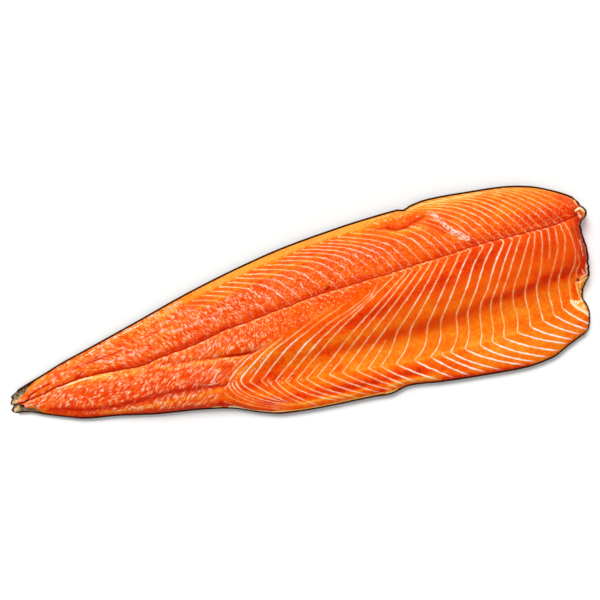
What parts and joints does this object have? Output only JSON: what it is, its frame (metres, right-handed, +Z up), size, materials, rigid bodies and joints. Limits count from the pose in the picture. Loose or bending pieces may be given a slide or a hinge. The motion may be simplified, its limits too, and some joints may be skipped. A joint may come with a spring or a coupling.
{
  "type": "smoked salmon side",
  "caption": "Side of smoked salmon lying skin side down: orange flesh with pale flake lines, a lateral groove, a thin belly flap and a pointed tail.",
  "frame": {"origin": "on the underside, below the middle of the outline", "axes": "+X towards the head end, +Y towards the back edge, +Z up from the skin to the cut flesh"},
  "size_m": [0.6, 0.186, 0.0299],
  "materials": {
    "smoked_flesh": "satin",
    "fish_skin": "satin"
  },
  "bodies": {
    "root": {"skin": "fish_skin", "flesh": "smoked_flesh"}
  },
  "joints": []
}
